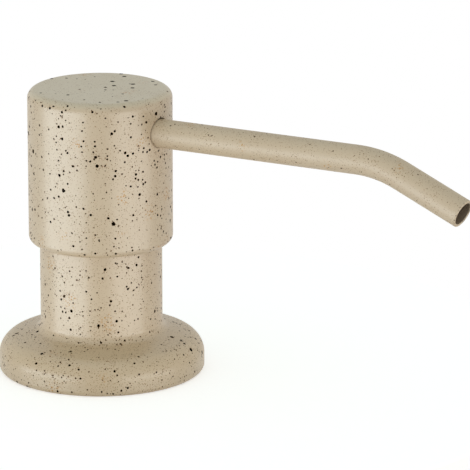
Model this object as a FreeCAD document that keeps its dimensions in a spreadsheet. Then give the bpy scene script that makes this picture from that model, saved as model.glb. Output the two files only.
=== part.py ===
import FreeCAD
import Part
import Sketcher
import math
import os
import re

# A worktop dispenser for detergent: a press-down head with a long spout on a flanged neck, the pump
# inside it, and under the deck a threaded shank with its nut and the bottle.
# Millimetres. The origin is the centre of the flange's underside, on the deck. +Z is up and the spout
# reaches along +X.

# Driving dimensions
sizes = {
    # Collar: neck and flange
    "flange_radius": 27.5,
    "flange_edge": 8.6,           # height of the sharp corner that the shoulder's rounding takes off
    "flange_slope": 15.3,         # degrees that the flange rises towards the neck
    "shoulder_round": 5.8,
    "flange_foot_round": 1.4,
    "neck_radius": 16.3,
    "neck_wall": 1.6,
    "neck_foot_round": 2.6,
    "neck_lip_round": 0.4,
    "neck_overlap": 8.0,          # length of neck that the head covers at rest
    "web_thickness": 4.0,         # floor of the collar, which the shank clamps
    "web_gap": 0.4,               # between the collar's hole and the thread
    "deck_gasket_thickness": 2.0,
    "deck_gasket_width": 9.0,
    "deck_gasket_rim": 3.2,       # metal outside the gasket
    "gasket_gap": 0.3,
    # Head
    "head_radius": 19.2,
    "head_foot": 35.4,
    "head_height": 41.6,
    "head_top_round": 2.4,
    "head_foot_round": 1.9,
    "head_roof": 2.8,
    "head_gap": 0.5,              # between the head's skirt and the neck
    "stroke": 11.0,
    "press_reserve": 0.8,         # way left when the head is pressed home
    # Spout
    "spout_radius": 3.82,
    "spout_wall": 0.8,
    "spout_level": 66.9,          # height of the spout's line on the head's axis
    "spout_rise": 1.5,            # degrees up before the bend
    "spout_root": 9.5,            # distance of the inner end from the head's axis
    "spout_straight": 79.7,       # where the bend starts, from the head's axis
    "spout_bend_radius": 33.5,
    "spout_drop": 21.9,           # degrees down after the bend
    "spout_end": 19.5,            # straight length up to the mouth
    "spout_gap": 0.06,            # between the spout and the socket that holds it
    "spout_opening_gap": 0.22,    # between the spout and the opening in the shell
    "spout_opening_lift": 0.12,   # the opening's line above the spout's
    "mouth_round": 0.25,
    # Core of the head
    "core_gap": 0.05,
    "core_rim_wall": 1.7,
    "core_roof": 2.6,
    "core_boss_radius": 7.6,
    "core_arm_radius": 5.6,
    "channel_radius": 2.6,
    "channel_floor": 0.9,         # plastic between the stem's end and the channel
    "swivel_gap": 0.05,
    "spout_ring_section": 0.7,    # radius of the ring's round section
    "spout_ring_place": 3.6,      # distance of the ring from the spout's inner end
    "swivel_ring_section": 0.6,
    "swivel_ring_place": 3.0,     # distance of the ring below the stem's top
    "ring_gap": 0.1,
    # Stem and piston
    "stem_radius": 4.5,
    "stem_bore": 2.0,
    "stem_collar_radius": 6.4,
    "stem_collar_thickness": 1.5,
    "piston_height": 7.0,
    "piston_fit": 0.04,
    "piston_lip": 1.4,
    "piston_lip_bevel": 0.4,
    "piston_waist": 1.1,          # depth of the hollow between the piston's lips
    "piston_gap": 0.05,
    "outlet_ball_radius": 2.0,
    "outlet_room_gap": 0.9,       # between the outlet ball and the stem's wall
    "outlet_lift": 1.2,
    "outlet_stop_gap": 0.1,
    "outlet_seat_bore": 1.2,
    "outlet_spigot": 3.0,
    "outlet_land": 0.4,
    "outlet_flange_radius": 6.9,
    "outlet_flange_thickness": 1.5,
    "outlet_pilot_radius": 4.9,
    "outlet_pilot_length": 2.0,
    "outlet_fit": 0.04,
    "outlet_slot_width": 1.0,
    "outlet_slot_depth": 1.6,
    "valve_gap": 0.03,            # between a ball and its seat
    # Spring
    "spring_wire": 1.0,           # diameter
    "spring_radius": 6.0,         # to the wire's centre
    "spring_rest": 24.0,
    "spring_turns": 7.0,
    "spring_end_pitch": 1.5,
    # Pump housing
    "closure_recess": 1.0,        # from the neck's top down to the closure's top
    "closure_roof": 1.5,
    "closure_height": 14.0,
    "closure_gap": 0.4,           # between closure and neck
    "closure_fit": 0.05,
    "closure_hole_gap": 0.3,
    "snap_level": 3.0,            # above the closure's foot
    "snap_height": 1.4,
    "snap_depth": 0.5,
    "snap_gap": 0.15,
    "guide_flange_thickness": 1.5,
    "guide_length": 15.5,
    "guide_hub_radius": 7.2,
    "guide_gap": 0.05,
    "guide_fit": 0.08,
    "wiper_section": 0.8,
    "wiper_place": 2.6,           # below the guide's top
    "pump_flange_thickness": 2.0,
    "pump_flange_gap": 0.3,
    "pump_gasket_thickness": 1.0,
    "barrel_bore": 7.7,
    "barrel_wall": 1.2,
    "cage_thickness": 2.0,
    "cage_fit": 0.08,
    "cage_hole_radius": 0.8,
    "cage_hole_circle": 1.9,
    "cage_hole_count": 4,
    "inlet_ball_radius": 2.4,
    "inlet_room_gap": 0.7,
    "inlet_lift": 1.5,
    "inlet_stop_gap": 0.1,
    "inlet_seat_bore": 1.5,
    "valve_house_wall": 1.4,
    "spigot_wall": 1.0,
    "spigot_length": 8.0,
    "tube_fit": 0.04,
    "tube_wall": 0.9,
    "tube_floor_gap": 3.0,        # from the dip tube's foot to the bottle's floor
    "tube_cut": 4.0,              # height of the slanted cut at its foot
    # Shank, nut and washer
    "shank_drop": 62.0,           # length below the deck
    "shank_wall": 1.8,            # between its bore and the thread's root
    "shank_flange_thickness": 3.0,
    "shank_flange_gap": 0.3,
    "shank_tube_step": 0.7,       # upper tube's radius beyond the thread's root
    "thread_root": 12.3,
    "thread_depth": 1.2,
    "thread_pitch": 3.0,
    "thread_sink": 0.2,           # how deep the tooth's foot reaches into the tube
    "thread_root_width": 1.9,
    "thread_crest_width": 0.7,
    "thread_runout": 2.0,         # from the shank's end to the thread
    "thread_top_gap": 4.0,        # from the thread's top to the deck
    "thread_gap": 0.3,
    "deck_thickness": 20.0,       # deck that the clamp is drawn for
    "washer_thickness": 2.5,
    "washer_radius": 21.0,
    "washer_gap": 0.4,
    "nut_height": 11.0,
    "nut_radius": 18.2,
    "lug_reach": 21.6,
    "lug_width": 6.0,
    "lug_count": 8,
    "lug_round": 1.2,
    # Bottle
    "bottle_engage": 15.0,        # length of shank inside the bottle's neck
    "bottle_gasket_thickness": 1.5,
    "bottle_seat_width": 1.9,
    "bottle_seat_thickness": 2.4,
    "bottle_neck_wall": 2.4,
    "bottle_neck_length": 20.0,
    "bottle_radius": 30.0,
    "bottle_wall": 1.5,
    "bottle_height": 120.0,
    "bottle_shoulder": 13.0,      # height of the sloping shoulder
    "bottle_shoulder_wall": 3.4,  # measured upright
    "bottle_shoulder_round": 7.0,
    "bottle_foot_round": 5.0,
    "bottle_throat_round": 2.0,
    "bottle_bead": 1.3,           # how far the bead at its rim stands out
    "bottle_bead_height": 3.2,
    "bottle_bead_round": 0.8,
    "bottle_panel_margin": 11.0,  # plain wall below and above the sunk band round the body
    "bottle_panel_depth": 0.7,
    "bottle_panel_step": 1.6,     # height over which the band sinks in
    "bottle_panel_round": 1.5,
    "bottle_stand_width": 6.5,    # ring that it stands on, with the foot's rounding
    "bottle_push_up": 2.0,        # hollow of the base
}

# Sizes and heights that follow from the driving ones. Heights are above the deck.
places = {
    "neck_bore": "neck_radius - neck_wall",
    "neck_foot": "flange_edge + (flange_radius - neck_radius) * tan(flange_slope)",
    "neck_top": "head_foot + neck_overlap",
    "thread_crest": "thread_root + thread_depth",
    "web_bore": "thread_crest + web_gap",
    "ledge": "deck_gasket_thickness + web_thickness",
    "gasket_room_radius": "flange_radius - deck_gasket_rim",
    "shank_bore": "thread_root - shank_wall",
    "shank_tube_radius": "thread_root + shank_tube_step",
    "shank_flange_radius": "neck_bore - shank_flange_gap",
    "closure_top": "neck_top - closure_recess",
    "closure_ceiling": "closure_top - closure_roof",
    "closure_foot": "closure_top - closure_height",
    "closure_bore": "shank_tube_radius + closure_fit",
    "closure_radius": "neck_bore - closure_gap",
    "closure_hole": "guide_hub_radius + closure_hole_gap",
    "pump_flange_radius": "closure_bore - pump_flange_gap",
    "pump_top": "closure_ceiling - guide_flange_thickness",
    "pump_seat": "pump_top - pump_flange_thickness",
    "shank_top": "pump_seat - pump_gasket_thickness",
    "guide_bore": "stem_radius + guide_gap",
    "guide_foot": "closure_ceiling - guide_length",
    "wiper_room": "guide_bore + 2 * wiper_section + ring_gap",
    "barrel_radius": "barrel_bore + barrel_wall",
    "stem_foot": "guide_foot - stem_collar_thickness - piston_height",
    "spring_top": "stem_foot - outlet_flange_thickness",
    "spring_foot": "spring_top - spring_rest",
    "barrel_floor": "spring_foot - cage_thickness",
    "inlet_room": "inlet_ball_radius + inlet_room_gap",
    "inlet_ball_rise": "sqrt(2) * (inlet_ball_radius + valve_gap) - inlet_seat_bore",
    "inlet_ball_level": "barrel_floor - inlet_stop_gap - inlet_lift - inlet_ball_radius",
    "inlet_seat": "inlet_ball_level - inlet_ball_rise",
    "inlet_seat_rim": "inlet_seat + inlet_room - inlet_seat_bore",
    "house_radius": "inlet_room + valve_house_wall",
    "house_foot": "inlet_seat - valve_house_wall",
    "spigot_radius": "inlet_seat_bore + spigot_wall",
    "spigot_foot": "house_foot - spigot_length",
    "tube_bore": "spigot_radius + tube_fit",
    "tube_radius": "tube_bore + tube_wall",
    "outlet_room": "outlet_ball_radius + outlet_room_gap",
    "outlet_ball_rise": "sqrt(2) * (outlet_ball_radius + valve_gap) - outlet_seat_bore",
    "outlet_rim": "outlet_room - outlet_fit",
    "outlet_cone": "outlet_rim - outlet_land",
    "outlet_seat": "stem_foot + outlet_spigot - outlet_cone + outlet_seat_bore",
    "outlet_ball_level": "outlet_seat + outlet_ball_rise",
    "outlet_stop": "outlet_ball_level + outlet_ball_radius + outlet_lift + outlet_stop_gap",
    "stem_top": "spout_level - channel_radius - channel_floor",
    "socket_bore": "stem_radius + swivel_gap",
    "swivel_room": "stem_radius - 2 * swivel_ring_section - ring_gap",
    "head_skirt": "neck_radius + head_gap",
    "head_ceiling": "head_foot + head_height - head_roof",
    "core_radius": "head_skirt - core_gap",
    "core_foot": "neck_top + stroke + press_reserve",
    "spout_hole": "spout_radius + spout_gap",
    "spout_ring_room": "spout_radius + 2 * spout_ring_section + ring_gap",
    "washer_top": "-deck_thickness",
    "washer_foot": "washer_top - washer_thickness",
    "nut_foot": "washer_foot - nut_height",
    "nut_bore": "thread_root + thread_gap",
    "groove_radius": "thread_crest + thread_gap",
    "tooth_bevel": "(thread_root_width - thread_crest_width) / 2",
    "bottle_rim": "bottle_engage - shank_drop",
    "bottle_foot": "bottle_rim - bottle_height",
    "bottle_neck_radius": "thread_crest + thread_gap + bottle_neck_wall",
    "bottle_seat": "bottle_height - bottle_engage - bottle_gasket_thickness",
    "bottle_throat": "nut_bore - bottle_seat_width",
    "bottle_neck_foot": "bottle_height - bottle_neck_length",
    "bottle_shoulder_foot": "bottle_neck_foot - bottle_shoulder",
    "bottle_slope": "bottle_shoulder / (bottle_radius - bottle_neck_radius)",
    "throat_foot": "bottle_seat - bottle_seat_thickness",
    "bottle_bore": "bottle_radius - bottle_wall",
    "bottle_bead_radius": "bottle_neck_radius + bottle_bead",
    "bottle_bead_foot": "bottle_height - bottle_bead_height",
    "bottle_panel_top": "bottle_shoulder_foot - bottle_panel_margin",
    "bottle_panel_radius": "bottle_radius - bottle_panel_depth",
    "bottle_panel_bore": "bottle_bore - bottle_panel_depth",
    "bottle_stand": "bottle_radius - bottle_stand_width",
}

same_spot = 1e-3                  # points and radii closer than this are one

doc = FreeCAD.newDocument("Dispenser")


def with_sheets(text, places_prefix="Places."):
    # Put the name of its sheet before each size in an expression
    def prefixed(match):
        word = match.group(0)
        if word in sizes:
            return "Sizes." + word
        if word in places:
            return places_prefix + word
        return word
    return re.sub(r"[a-z_]+", prefixed, text)


def fill_sheet(name, cells):
    sheet = doc.addObject("Spreadsheet::Sheet", name)
    for row, (alias, content) in enumerate(cells.items(), start=1):
        sheet.set(f"A{row}", alias)
        sheet.set(f"B{row}", content)
        sheet.setAlias(f"B{row}", alias)
    doc.recompute()
    return sheet


size_sheet = fill_sheet("Sizes", {name: str(number) for name, number in sizes.items()})
fill_sheet("Places", {name: "=" + with_sheets(text, "") for name, text in places.items()})


def value(text):
    return float(size_sheet.evalExpression(with_sheets(text)))


def bind(target, **expressions):
    # Tie properties to the sheets; a double underscore stands for the dot in a property's path
    for path, text in expressions.items():
        target.setExpression(path.replace("__", "."), with_sheets(text))


def new_body(label, level):
    body = doc.addObject("PartDesign::Body", label)
    body.Label = label
    bind(body, Placement__Base__z=level)
    return body


def origin_part(body, role):
    return next(part for part in body.Origin.OriginFeatures if part.Role == role)


def new_sketch(body, name, plane):
    sketch = body.newObject("Sketcher::SketchObject", name)
    sketch.AttachmentSupport = [(origin_part(body, plane), "")]
    sketch.MapMode = "FlatFace"
    return sketch


def dimension(sketch, text, kind, *items):
    index = sketch.addConstraint(Sketcher.Constraint(kind, *items, value(text)))
    sketch.setExpression(f"Constraints[{index}]", with_sheets(text))


def pin_point(sketch, geometry, end, across, up):
    # Fix a point by its two distances from the sketch's origin, or on an axis where one is zero
    for kind, text, axis in (("DistanceX", across, -2), ("DistanceY", up, -1)):
        if text == "0":
            sketch.addConstraint(Sketcher.Constraint("PointOnObject", geometry, end, axis))
        else:
            dimension(sketch, text, kind, -1, 1, geometry, end)


def outline(body, name, corners, plane="XZ_Plane"):
    sketch = new_sketch(body, name, plane)
    points = [FreeCAD.Vector(value(across), value(up), 0) for across, up in corners]
    following = points[1:] + points[:1]
    sketch.addGeometry([Part.LineSegment(a, b) for a, b in zip(points, following)], False)
    for line in range(len(points)):
        sketch.addConstraint(Sketcher.Constraint("Coincident", line, 2, (line + 1) % len(points), 1))
    for line, (across, up) in enumerate(corners):
        pin_point(sketch, line, 1, across, up)
    doc.recompute()
    return sketch


def turned(label, level, corners):
    # A body of revolution about the vertical axis; corners are radius and height above the level
    body = new_body(label, level)
    turn = body.newObject("PartDesign::Revolution", label + "_turned")
    turn.Profile = outline(body, label + "_section", corners)
    turn.ReferenceAxis = (origin_part(body, "Z_Axis"), [""])
    turn.Angle = 360
    doc.recompute()
    return body


def round_rims(body, radius, *rims):
    # Round circular edges, each found by its radius and height
    base = body.Tip
    names = []
    for rim_radius, height in rims:
        for number, edge in enumerate(base.Shape.Edges, start=1):
            if not isinstance(edge.Curve, Part.Circle):
                continue
            same_radius = math.isclose(edge.Curve.Radius, value(rim_radius), abs_tol=same_spot)
            if same_radius and math.isclose(edge.Curve.Center.z, value(height), abs_tol=same_spot):
                names.append(f"Edge{number}")
    fillet = body.newObject("PartDesign::Fillet", body.Label + "_rounded")
    fillet.Base = (base, names)
    bind(fillet, Radius=radius)
    doc.recompute()


def thread(body, kind, corners, rise):
    helix = body.newObject(kind, body.Label + "_thread")
    helix.Profile = outline(body, body.Label + "_tooth", corners)
    helix.ReferenceAxis = (origin_part(body, "Z_Axis"), [""])
    helix.Mode = "pitch-height-angle"
    helix.LeftHanded = False
    bind(helix, Pitch="thread_pitch", Height=rise)
    doc.recompute()


def groove_corners(start):
    # The nut's and the bottle's groove: the shank's tooth with its clearance all round
    return [
        ("thread_root", f"{start} - thread_gap"),
        ("groove_radius", f"{start} + tooth_bevel - thread_gap"),
        ("groove_radius", f"{start} + tooth_bevel + thread_crest_width + thread_gap"),
        ("thread_root", f"{start} + thread_root_width + thread_gap"),
    ]


def patterned(body, feature, count):
    pattern = body.newObject("PartDesign::PolarPattern", body.Label + "_pattern")
    pattern.Originals = [feature]
    pattern.Axis = (origin_part(body, "Z_Axis"), [""])
    pattern.Angle = 360
    bind(pattern, Occurrences=count)
    body.Tip = pattern
    doc.recompute()


def on_spout_line(target, distance, level):
    # Lay an upright piece along the spout's line, at a distance from the head's axis
    target.Placement = FreeCAD.Placement(FreeCAD.Vector(), FreeCAD.Rotation(FreeCAD.Vector(0, 1, 0), 90))
    bind(
        target,
        Placement__Base__x=f"({distance}) * cos(spout_rise)",
        Placement__Base__z=f"spout_level - ({level}) + ({distance}) * sin(spout_rise)",
        Placement__Rotation__Angle="90 - spout_rise",
    )


def spout_cylinder(body, kind, name, radius, start, length, level):
    cylinder = body.newObject(kind, name)
    bind(cylinder, Radius=radius, Height=length)
    on_spout_line(cylinder, start, level)
    doc.recompute()


def ball(label, radius, level):
    sphere = doc.addObject("Part::Sphere", label)
    bind(sphere, Radius=radius, Placement__Base__z=level)
    return sphere


def o_ring(label, radius, section, level):
    ring = doc.addObject("Part::Torus", label)
    bind(ring, Radius1=radius, Radius2=section, Placement__Base__z=level)
    return ring


def flat_ring(label, level, inner, outer, thickness):
    return turned(label, level, [(inner, "0"), (outer, "0"), (outer, thickness), (inner, thickness)])


def make_base_collar():
    body = turned("base_collar", "0", [
        ("gasket_room_radius", "0"),
        ("flange_radius", "0"),
        ("flange_radius", "flange_edge"),
        ("neck_radius", "neck_foot"),
        ("neck_radius", "neck_top"),
        ("neck_bore", "neck_top"),
        ("neck_bore", "ledge"),
        ("web_bore", "ledge"),
        ("web_bore", "deck_gasket_thickness"),
        ("gasket_room_radius", "deck_gasket_thickness"),
    ])
    round_rims(body, "shoulder_round", ("flange_radius", "flange_edge"))
    round_rims(body, "neck_foot_round", ("neck_radius", "neck_foot"))
    round_rims(body, "flange_foot_round", ("flange_radius", "0"))
    round_rims(body, "neck_lip_round", ("neck_radius", "neck_top"), ("neck_bore", "neck_top"))
    return body


def make_deck_gasket():
    outer = "gasket_room_radius - gasket_gap"
    return flat_ring("deck_gasket", "0", f"{outer} - deck_gasket_width", outer, "deck_gasket_thickness")


def make_shank():
    snap_radius = "closure_bore - snap_depth - snap_gap"
    snap_low = "shank_drop + closure_foot + snap_level - snap_gap"
    snap_high = "shank_drop + closure_foot + snap_level + snap_height + snap_gap"
    flange_foot = "shank_drop + ledge"
    flange_top = "shank_drop + ledge + shank_flange_thickness"
    top = "shank_drop + shank_top"
    body = turned("shank", "-shank_drop", [
        ("shank_bore", "0"),
        ("thread_root", "0"),
        ("thread_root", flange_foot),
        ("shank_flange_radius", flange_foot),
        ("shank_flange_radius", flange_top),
        ("shank_tube_radius", flange_top),
        ("shank_tube_radius", snap_low),
        (snap_radius, snap_low),
        (snap_radius, snap_high),
        ("shank_tube_radius", snap_high),
        ("shank_tube_radius", top),
        ("shank_bore", top),
    ])
    thread(body, "PartDesign::AdditiveHelix", [
        ("thread_root - thread_sink", "thread_runout"),
        ("thread_root", "thread_runout"),
        ("thread_crest", "thread_runout + tooth_bevel"),
        ("thread_crest", "thread_runout + tooth_bevel + thread_crest_width"),
        ("thread_root", "thread_runout + thread_root_width"),
        ("thread_root - thread_sink", "thread_runout + thread_root_width"),
    ], "shank_drop - thread_runout - thread_top_gap")
    return body


def make_clamp_washer():
    inner = "thread_crest + washer_gap"
    return flat_ring("clamp_washer", "washer_foot", inner, "washer_radius", "washer_thickness")


def make_mounting_nut():
    body = flat_ring("mounting_nut", "nut_foot", "nut_bore", "nut_radius", "nut_height")
    lug = body.newObject("PartDesign::Pad", "lug")
    lug.Profile = outline(body, "lug_section", [
        ("nut_radius - thread_depth", "-lug_width / 2"),
        ("lug_reach - lug_round", "-lug_width / 2"),
        ("lug_reach", "lug_round - lug_width / 2"),
        ("lug_reach", "lug_width / 2 - lug_round"),
        ("lug_reach - lug_round", "lug_width / 2"),
        ("nut_radius - thread_depth", "lug_width / 2"),
    ], "XY_Plane")
    bind(lug, Length="nut_height")
    doc.recompute()
    patterned(body, lug, "lug_count")
    start = "(-thread_pitch - mod(nut_foot + shank_drop - thread_runout; thread_pitch))"
    thread(body, "PartDesign::SubtractiveHelix", groove_corners(start), "nut_height + 3 * thread_pitch")
    return body


def make_bottle():
    slope_drop = "(bottle_bore - bottle_neck_radius) * bottle_slope"
    inner_shoulder = f"bottle_neck_foot - {slope_drop} - bottle_shoulder_wall"
    panel_low = "bottle_panel_margin + bottle_panel_step"
    panel_high = "bottle_panel_top - bottle_panel_step"
    body = turned("bottle", "bottle_foot", [
        ("0", "bottle_push_up"),
        ("bottle_stand", "0"),
        ("bottle_radius", "0"),
        ("bottle_radius", "bottle_panel_margin"),
        ("bottle_panel_radius", panel_low),
        ("bottle_panel_radius", panel_high),
        ("bottle_radius", "bottle_panel_top"),
        ("bottle_radius", "bottle_shoulder_foot"),
        ("bottle_neck_radius", "bottle_neck_foot"),
        ("bottle_neck_radius", "bottle_bead_foot"),
        ("bottle_bead_radius", "bottle_bead_foot"),
        ("bottle_bead_radius", "bottle_height"),
        ("nut_bore", "bottle_height"),
        ("nut_bore", "bottle_seat"),
        ("bottle_throat", "bottle_seat"),
        ("bottle_throat", "throat_foot"),
        ("bottle_bore", inner_shoulder),
        ("bottle_bore", "bottle_panel_top"),
        ("bottle_panel_bore", panel_high),
        ("bottle_panel_bore", panel_low),
        ("bottle_bore", "bottle_panel_margin"),
        ("bottle_bore", "bottle_wall"),
        ("bottle_stand", "bottle_wall"),
        ("0", "bottle_push_up + bottle_wall"),
    ])
    inner_round = "bottle_shoulder_round - bottle_wall"
    round_rims(body, "bottle_foot_round", ("bottle_radius", "0"))
    round_rims(body, "bottle_foot_round - bottle_wall", ("bottle_bore", "bottle_wall"))
    round_rims(body, "bottle_shoulder_round", ("bottle_radius", "bottle_shoulder_foot"))
    round_rims(body, inner_round, ("bottle_bore", inner_shoulder))
    round_rims(body, "bottle_throat_round", ("bottle_neck_radius", "bottle_neck_foot"))
    round_rims(
        body, "bottle_panel_round",
        ("bottle_radius", "bottle_panel_margin"), ("bottle_panel_radius", panel_low),
        ("bottle_panel_radius", panel_high), ("bottle_radius", "bottle_panel_top"),
    )
    round_rims(
        body, "bottle_bead_round",
        ("bottle_bead_radius", "bottle_bead_foot"), ("bottle_bead_radius", "bottle_height"),
    )
    start = "(bottle_height - bottle_engage + thread_runout - thread_pitch)"
    rise = "bottle_engage + 2 * thread_pitch"
    thread(body, "PartDesign::SubtractiveHelix", groove_corners(start), rise)
    return body


def make_bottle_gasket():
    level = "-shank_drop - bottle_gasket_thickness"
    return flat_ring("bottle_gasket", level, "bottle_throat", "thread_root", "bottle_gasket_thickness")


def make_pump_cylinder():
    return turned("pump_cylinder", "spigot_foot", [
        ("inlet_seat_bore", "0"),
        ("spigot_radius", "0"),
        ("spigot_radius", "spigot_length"),
        ("house_radius", "spigot_length"),
        ("house_radius", "barrel_floor - barrel_wall - spigot_foot"),
        ("barrel_radius", "barrel_floor - barrel_wall - spigot_foot"),
        ("barrel_radius", "pump_seat - spigot_foot"),
        ("pump_flange_radius", "pump_seat - spigot_foot"),
        ("pump_flange_radius", "pump_top - spigot_foot"),
        ("barrel_bore", "pump_top - spigot_foot"),
        ("barrel_bore", "barrel_floor - spigot_foot"),
        ("inlet_room", "barrel_floor - spigot_foot"),
        ("inlet_room", "inlet_seat_rim - spigot_foot"),
        ("inlet_seat_bore", "inlet_seat - spigot_foot"),
    ])


def make_pump_gasket():
    thickness = "pump_gasket_thickness"
    return flat_ring("pump_gasket", "shank_top", "shank_bore", "pump_flange_radius", thickness)


def make_ball_cage():
    radius = "barrel_bore - cage_fit"
    body = turned("ball_cage", "barrel_floor", [
        ("0", "0"),
        (radius, "0"),
        (radius, "cage_thickness"),
        ("0", "cage_thickness"),
    ])
    sketch = new_sketch(body, "cage_hole", "XY_Plane")
    centre = FreeCAD.Vector(value("cage_hole_circle"), 0, 0)
    sketch.addGeometry(Part.Circle(centre, FreeCAD.Vector(0, 0, 1), value("cage_hole_radius")), False)
    dimension(sketch, "cage_hole_radius", "Radius", 0)
    pin_point(sketch, 0, 3, "cage_hole_circle", "0")
    doc.recompute()
    hole = body.newObject("PartDesign::Pocket", "cage_hole_cut")
    hole.Profile = sketch
    hole.Reversed = True
    bind(hole, Length="cage_thickness")
    doc.recompute()
    patterned(body, hole, "cage_hole_count")
    return body


def make_dip_tube():
    level = "bottle_foot + bottle_push_up + bottle_wall + tube_floor_gap"
    body = flat_ring("dip_tube", level, "tube_bore", "tube_radius", f"house_foot - ({level})")
    cut = body.newObject("PartDesign::Pocket", "dip_tube_slant")
    cut.Profile = outline(body, "dip_tube_wedge", [
        ("-tube_radius - tube_wall", "0"),
        ("tube_radius + tube_wall", "0"),
        ("tube_radius + tube_wall", "tube_cut"),
    ])
    cut.Midplane = True
    bind(cut, Length="2 * tube_radius + 2 * tube_wall")
    doc.recompute()
    return body


def make_closure_cap():
    snap_high = "snap_level + snap_height"
    ceiling = "closure_height - closure_roof"
    return turned("closure_cap", "closure_foot", [
        ("closure_bore", "0"),
        ("closure_radius", "0"),
        ("closure_radius", "closure_height"),
        ("closure_hole", "closure_height"),
        ("closure_hole", ceiling),
        ("closure_bore", ceiling),
        ("closure_bore", snap_high),
        ("closure_bore - snap_depth", snap_high),
        ("closure_bore - snap_depth", "snap_level"),
        ("closure_bore", "snap_level"),
    ])


def make_stem_guide():
    tube = "barrel_bore - guide_fit"
    top = "closure_top - guide_foot"
    room_low = "closure_top - guide_foot - wiper_place - wiper_section - ring_gap"
    room_high = "closure_top - guide_foot - wiper_place + wiper_section + ring_gap"
    return turned("stem_guide", "guide_foot", [
        ("guide_bore", "0"),
        (tube, "0"),
        (tube, "pump_top - guide_foot"),
        ("pump_flange_radius", "pump_top - guide_foot"),
        ("pump_flange_radius", "closure_ceiling - guide_foot"),
        ("guide_hub_radius", "closure_ceiling - guide_foot"),
        ("guide_hub_radius", top),
        ("guide_bore", top),
        ("guide_bore", room_high),
        ("wiper_room", room_high),
        ("wiper_room", room_low),
        ("guide_bore", room_low),
    ])


def make_piston_stem():
    collar_top = "piston_height + stem_collar_thickness"
    length = "stem_top - stem_foot"
    room_low = "stem_top - stem_foot - swivel_ring_place - swivel_ring_section - ring_gap"
    room_high = "stem_top - stem_foot - swivel_ring_place + swivel_ring_section + ring_gap"
    stop = "outlet_stop - stem_foot"
    body = turned("piston_stem", "stem_foot", [
        ("outlet_room", "0"),
        ("stem_radius", "0"),
        ("stem_radius", "piston_height"),
        ("stem_collar_radius", "piston_height"),
        ("stem_collar_radius", collar_top),
        ("stem_radius", collar_top),
        ("stem_radius", room_low),
        ("swivel_room", room_low),
        ("swivel_room", room_high),
        ("stem_radius", room_high),
        ("stem_radius", length),
        ("stem_bore", length),
        ("stem_bore", stop),
        ("outlet_room", stop),
    ])
    # Two crossed slots let the liquid past the ball when it is up against its stop
    for name, along, across in (("slot_x", "Length", "Width"), ("slot_y", "Width", "Length")):
        slot = body.newObject("PartDesign::SubtractiveBox", name)
        reach = {along: "2 * outlet_room", across: "outlet_slot_width", "Height": "outlet_slot_depth"}
        bind(slot, **reach)
        bind(
            slot,
            Placement__Base__x=f"-({reach['Length']}) / 2",
            Placement__Base__y=f"-({reach['Width']}) / 2",
            Placement__Base__z=stop,
        )
        doc.recompute()
    return body


def make_piston_seal():
    bore = "stem_radius + piston_fit"
    outer = "barrel_bore - piston_gap"
    waist = f"{outer} - piston_waist"
    bevel = f"{outer} - piston_lip_bevel"
    return turned("piston_seal", "stem_foot", [
        (bore, "0"),
        (bevel, "0"),
        (outer, "piston_lip_bevel"),
        (outer, "piston_lip"),
        (waist, "piston_lip + piston_waist"),
        (waist, "piston_height - piston_lip - piston_waist"),
        (outer, "piston_height - piston_lip"),
        (outer, "piston_height - piston_lip_bevel"),
        (bevel, "piston_height"),
        (bore, "piston_height"),
    ])


def make_outlet_seat():
    flange_top = "outlet_pilot_length + outlet_flange_thickness"
    spigot_top = f"{flange_top} + outlet_spigot"
    return turned("outlet_seat", "spring_top - outlet_pilot_length", [
        ("outlet_seat_bore", "0"),
        ("outlet_pilot_radius", "0"),
        ("outlet_pilot_radius", "outlet_pilot_length"),
        ("outlet_flange_radius", "outlet_pilot_length"),
        ("outlet_flange_radius", flange_top),
        ("outlet_rim", flange_top),
        ("outlet_rim", spigot_top),
        ("outlet_cone", spigot_top),
        ("outlet_seat_bore", f"{spigot_top} - outlet_cone + outlet_seat_bore"),
    ])


def arc_from(start, direction, reach, end):
    # An arc that leaves start along direction; reach is the length of its two equal tangents
    chord = end - start
    middle = (start + end) / 2
    corner = start + direction * reach
    half_turn = math.acos(min(1.0, direction.dot(chord) / chord.Length))
    sagitta = chord.Length / 2 * math.tan(half_turn / 2)
    return Part.Arc(start, middle + (corner - middle).normalize() * sagitta, end).toShape()


def biarc(start, leaving, end, arriving):
    # Two tangent arcs between two points with given directions
    chord = end - start
    square = 2 * (1 - leaving.dot(arriving))
    linear = 2 * chord.dot(leaving + arriving)
    reach = (-linear + math.sqrt(linear ** 2 + 4 * square * chord.dot(chord))) / (2 * square)
    joint = (start + leaving * reach + end - arriving * reach) / 2
    return [arc_from(start, leaving, reach, joint), arc_from(end, arriving * -1, reach, joint)]


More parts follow.
